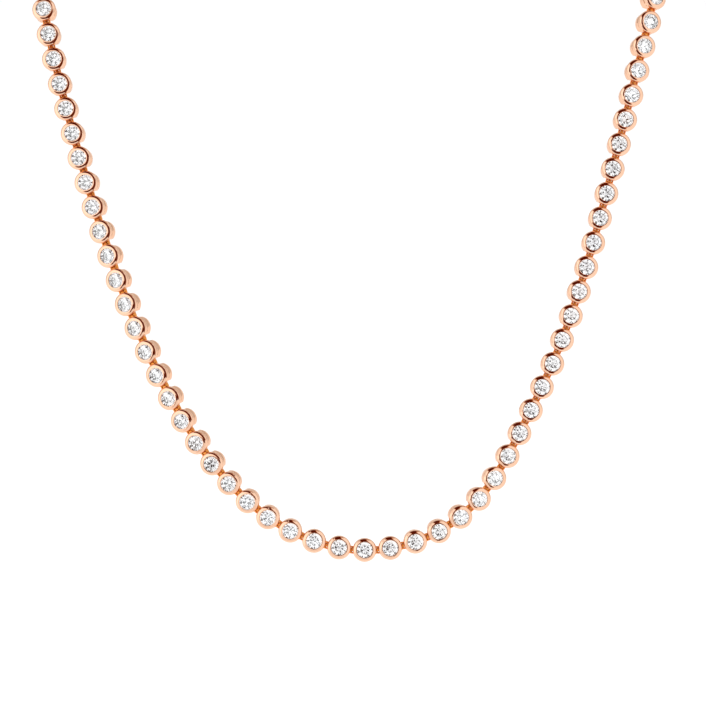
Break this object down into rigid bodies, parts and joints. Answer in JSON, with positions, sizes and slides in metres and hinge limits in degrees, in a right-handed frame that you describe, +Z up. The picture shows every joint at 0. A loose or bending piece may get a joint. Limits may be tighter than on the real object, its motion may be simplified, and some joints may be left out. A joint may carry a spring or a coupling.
{
  "type": "riviere necklace",
  "caption": "Riviere necklace: an even line of round brilliants in domed rose gold bezel cups, each hinged to the next, hanging as a full loop from a plain box clasp at the nape.",
  "frame": {"origin": "middle of the clasp's underside, where the loop hangs on the nape", "axes": "+Z up, the wearer faces -Y, +X towards the wearer's left"},
  "size_m": [0.1265, 0.0859, 0.1302],
  "materials": {
    "rose_gold": "polished",
    "diamond": "polished"
  },
  "bodies": {
    "root": {"settings_left": "rose_gold", "settings_right": "rose_gold", "stones_left": "diamond", "stones_right": "diamond", "clasp": "rose_gold"}
  },
  "joints": []
}
